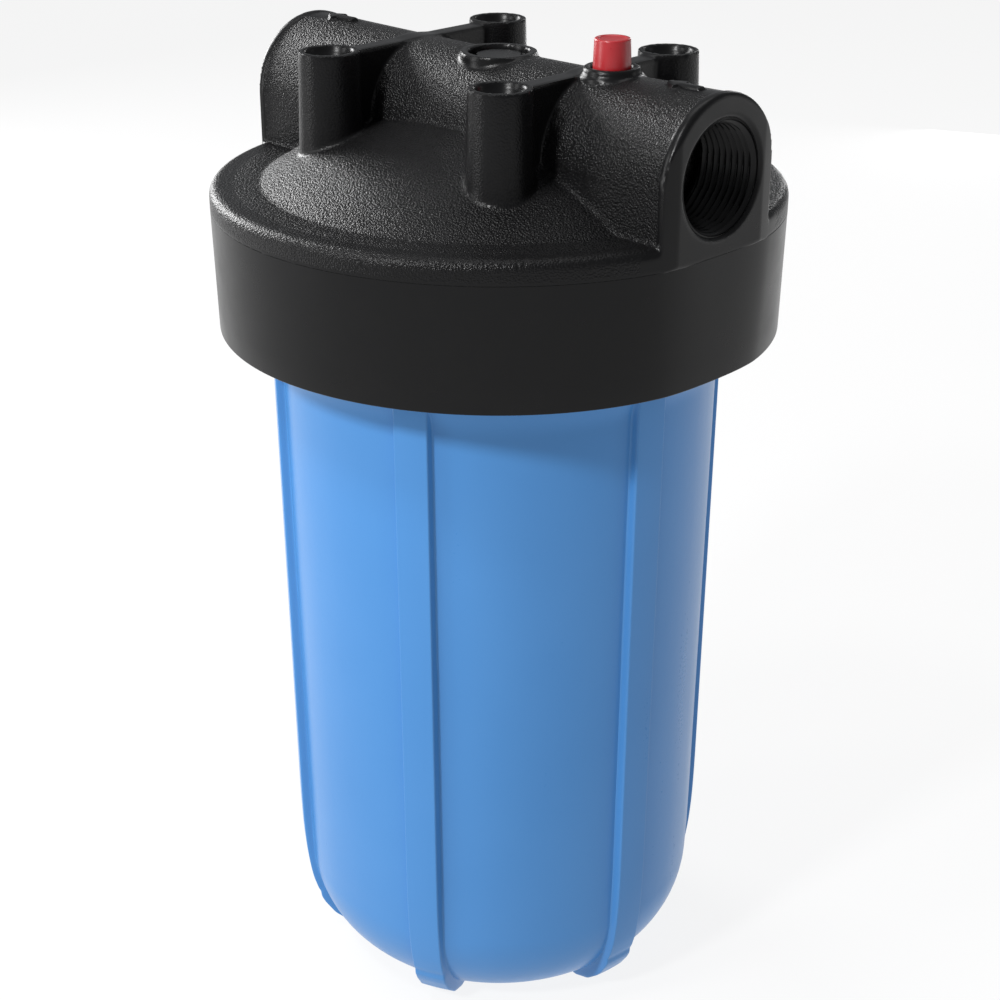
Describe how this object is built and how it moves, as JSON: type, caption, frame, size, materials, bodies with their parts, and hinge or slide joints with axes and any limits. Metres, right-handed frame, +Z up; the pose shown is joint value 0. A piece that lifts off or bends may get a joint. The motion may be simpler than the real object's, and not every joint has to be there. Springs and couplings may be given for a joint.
{
  "type": "cartridge filter housing",
  "caption": "Water filter housing: ribbed blue sump screwed into a black head with two pipe ports, mounting bosses and a relief button, holding a pleated cartridge.",
  "frame": {"origin": "on the vertical axis, in the plane of the foot pads", "axes": "+Z up; X along the ports, inlet at +X and outlet at -X; Y across"},
  "size_m": [0.1798, 0.1838, 0.3323],
  "materials": {
    "sump_blue": "satin moulded polypropylene",
    "head_black": "pebble-grained moulded polypropylene, smooth satin collar and port faces",
    "seal_rubber": "matte",
    "pleated_media": "matt white spun polyester",
    "cartridge_cap": "moulded plastisol",
    "cartridge_core": "natural moulded polypropylene",
    "cartridge_band": "heat-sealed strap",
    "button_red": "satin moulded",
    "stainless_steel": "drawn"
  },
  "bodies": {
    "sump": {"sump": "sump_blue"},
    "cartridge": {"cartridge_core": "cartridge_core", "cartridge_pleats": "pleated_media", "cartridge_top_cap": "cartridge_cap", "cartridge_bottom_cap": "cartridge_cap", "cartridge_top_gasket": "seal_rubber", "cartridge_bottom_gasket": "seal_rubber", "cartridge_band_upper": "cartridge_band", "cartridge_band_lower": "cartridge_band"},
    "seal_ring": {"sump_o_ring": "seal_rubber"},
    "head": {"head": "head_black", "relief_spring": "stainless_steel"},
    "relief_button": {"relief_button": "button_red", "relief_stem": "stainless_steel", "relief_seal": "seal_rubber", "relief_seal_washer": "stainless_steel"}
  },
  "joints": [
    {"name": "head_lift_off", "type": "slide", "parent": "sump", "child": "cartridge", "axis": [0, 0, 1], "range_m": [0, 0.3]},
    {"name": "head_thread_rise", "type": "slide", "parent": "cartridge", "child": "seal_ring", "axis": [0, 0, 1], "range_m": [0, 0.0321]},
    {"name": "head_unscrew", "type": "hinge", "parent": "seal_ring", "child": "head", "pos_m": [0, 0, 0.254], "axis": [0, 0, 1], "range_deg": [0, 1440]},
    {"name": "relief_button_press", "type": "slide", "parent": "head", "child": "relief_button", "axis": [0, 0, -1], "range_m": [0, 0.0025], "stiffness_N_per_m": 900, "springref_m": -0.001, "deforming": ["relief_spring"]}
  ],
  "couplings": [
    {"joint": "head_thread_rise", "follows": "head_unscrew", "m_per_rad": 0.0012732}
  ]
}
